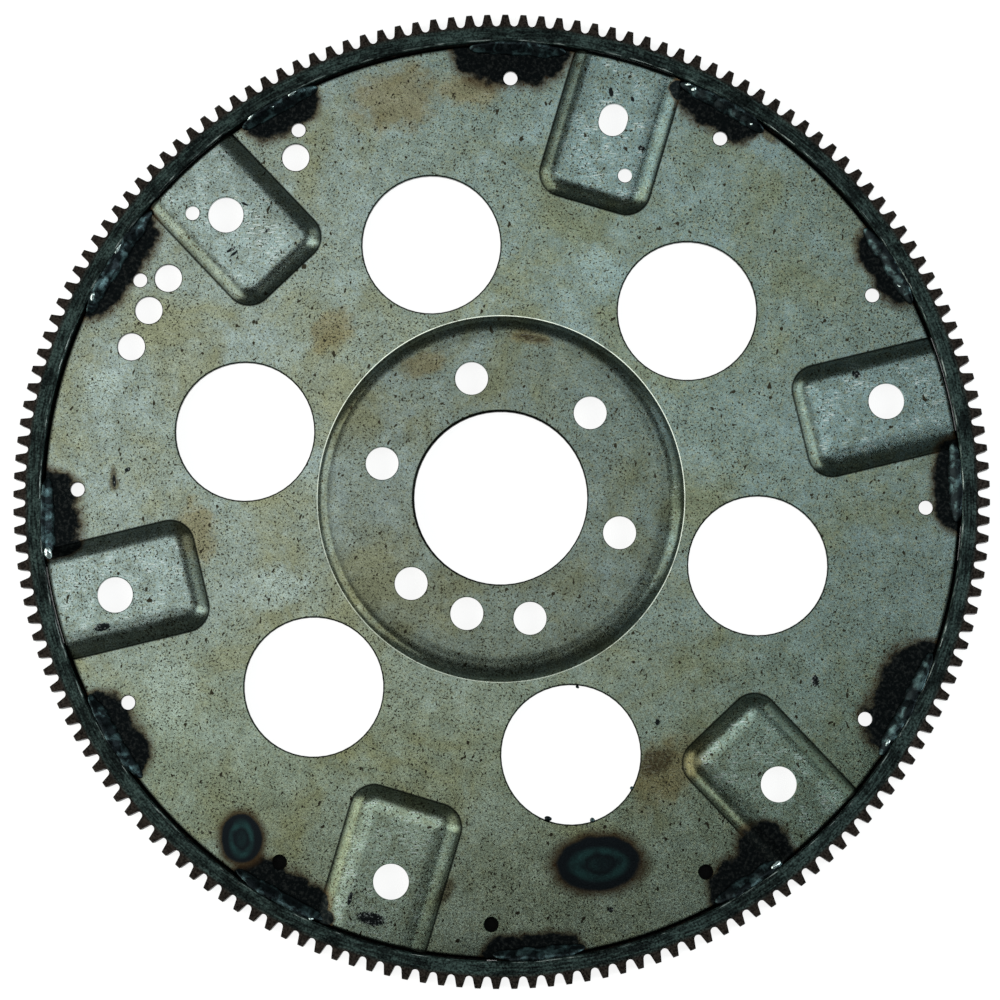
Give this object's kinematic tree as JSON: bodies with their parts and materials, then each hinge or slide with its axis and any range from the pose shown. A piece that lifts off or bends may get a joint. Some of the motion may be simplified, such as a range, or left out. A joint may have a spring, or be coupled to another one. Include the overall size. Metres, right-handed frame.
{
  "type": "engine flexplate",
  "caption": "Stamped steel flexplate with raised centre, converter pads, lightening holes, welded starter ring gear and a balance weight.",
  "frame": {"origin": "on the crankshaft axis, level with the ring gear's lower face on which the part lies", "axes": "+Z along the crankshaft axis towards the torque converter; +X is to the right in the picture and +Y to its top"},
  "size_m": [0.3588, 0.3588, 0.0102],
  "materials": {
    "disc_steel": "oiled mild steel sheet with dark specks, heat stains and light rust",
    "ring_steel": "dark hardened steel with brownish teeth",
    "weight_steel": "hot-rolled plate with dark mill scale",
    "weld_metal": "as-welded bead with black scale"
  },
  "bodies": {
    "root": {"disc": "disc_steel", "ring_gear": "ring_steel", "balance_weight": "weight_steel", "ring_weld_1": "weld_metal", "ring_weld_2": "weld_metal", "ring_weld_3": "weld_metal", "ring_weld_4": "weld_metal", "ring_weld_5": "weld_metal", "ring_weld_6": "weld_metal", "ring_weld_7": "weld_metal", "ring_weld_8": "weld_metal", "ring_weld_9": "weld_metal", "ring_weld_10": "weld_metal", "ring_weld_11": "weld_metal", "ring_weld_12": "weld_metal", "weight_weld_left": "weld_metal", "weight_weld_right": "weld_metal", "weight_weld_inner": "weld_metal"}
  },
  "joints": []
}
